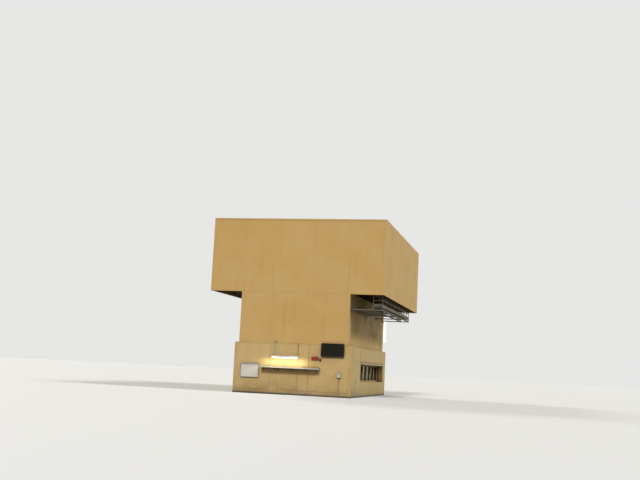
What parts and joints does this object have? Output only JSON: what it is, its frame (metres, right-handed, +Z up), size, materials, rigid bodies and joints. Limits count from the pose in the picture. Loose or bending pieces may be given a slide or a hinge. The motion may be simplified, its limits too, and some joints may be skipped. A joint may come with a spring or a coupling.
{
  "type": "hydraulic press",
  "caption": "Tall enclosed hydraulic press with overhanging clad head, lift gates, service doors and a hung gangway.",
  "frame": {"origin": "middle of the floor area under the press's overall box", "axes": "+Z up, +X towards the operator side with the gangway, +Y along the press away from its near end with the shelf"},
  "size_m": [11.2, 16.56, 11.03],
  "materials": {
    "cream_paint": "satin",
    "frame_paint": "satin",
    "machined_steel": "satin",
    "polished_rod": "polished",
    "hydraulic_grey": "satin",
    "dark_steel": "matte",
    "window_glass": "gloss",
    "black_plastic": "gloss",
    "red_plastic": "satin",
    "white_enamel": "satin",
    "lamp_tube": "gloss",
    "light_grey_paint": "satin"
  },
  "bodies": {
    "frame": {"base_end_far": "cream_paint", "base_end_near": "cream_paint", "base_side_left": "cream_paint", "base_side_right": "cream_paint", "bed": "frame_paint", "body_end_far": "cream_paint", "body_end_near": "cream_paint", "body_side_left": "cream_paint", "body_side_right": "cream_paint", "bolster": "machined_steel", "control_box": "light_grey_paint", "corner_lamp": "white_enamel", "corner_lamp_tube": "lamp_tube", "crown": "frame_paint", "cushion_cylinder": "hydraulic_grey", "display_screen": "black_plastic", "fascia_far": "cream_paint", "fascia_left": "cream_paint", "fascia_near": "cream_paint", "fascia_right": "cream_paint", "gangway_deck": "dark_steel", "gangway_railing": "dark_steel", "gate_cylinder_left": "hydraulic_grey", "gate_cylinder_right": "hydraulic_grey", "gate_guide_far_left": "dark_steel", "gate_guide_far_right": "dark_steel", "gate_guide_near_left": "dark_steel", "gate_guide_near_right": "dark_steel", "head_floor": "dark_steel", "main_cylinder_far": "hydraulic_grey", "main_cylinder_near": "hydraulic_grey", "notice_board": "white_enamel", "oil_tank": "hydraulic_grey", "pressure_pipe": "hydraulic_grey", "pump_unit_left": "hydraulic_grey", "pump_unit_right": "hydraulic_grey", "red_sign": "red_plastic", "roof": "cream_paint", "shelf": "light_grey_paint", "tie_rod_far_left": "machined_steel", "tie_rod_far_right": "machined_steel", "tie_rod_near_left": "machined_steel", "tie_rod_near_right": "machined_steel", "upright_far_left": "frame_paint", "upright_far_right": "frame_paint", "upright_near_left": "frame_paint", "upright_near_right": "frame_paint", "work_lamp": "white_enamel", "work_lamp_tube": "lamp_tube"},
    "slide_unit": {"slide": "frame_paint", "main_ram_near": "polished_rod", "main_ram_far": "polished_rod"},
    "cushion_unit": {"cushion": "machined_steel"},
    "gate_right_unit": {"gate_right": "cream_paint", "gate_window_right": "window_glass"},
    "gate_left_unit": {"gate_left": "cream_paint", "gate_window_left": "window_glass"},
    "door_right_unit": {"service_door_right": "cream_paint"},
    "door_left_unit": {"service_door_left": "cream_paint"},
    "button_unit": {"stop_button": "red_plastic"}
  },
  "joints": [
    {"name": "slide_stroke", "type": "slide", "parent": "frame", "child": "slide_unit", "axis": [0, 0, 1], "range_m": [-1.2, 0]},
    {"name": "cushion_lift", "type": "slide", "parent": "frame", "child": "cushion_unit", "axis": [0, 0, 1], "range_m": [0, 0.25]},
    {"name": "gate_right_lift", "type": "slide", "parent": "frame", "child": "gate_right_unit", "axis": [0, 0, 1], "range_m": [0, 2.1]},
    {"name": "gate_left_lift", "type": "slide", "parent": "frame", "child": "gate_left_unit", "axis": [0, 0, 1], "range_m": [0, 2.1]},
    {"name": "door_right_swing", "type": "hinge", "parent": "frame", "child": "door_right_unit", "pos_m": [3.77, -7.338, 1.08], "axis": [0, 0, -1], "range_deg": [0, 110]},
    {"name": "door_left_swing", "type": "hinge", "parent": "frame", "child": "door_left_unit", "pos_m": [-3.77, -7.338, 1.08], "axis": [0, 0, 1], "range_deg": [0, 110]},
    {"name": "stop_button_press", "type": "slide", "parent": "frame", "child": "button_unit", "axis": [0, 1, 0], "range_m": [0, 0.006], "stiffness_N_per_m": 400}
  ]
}
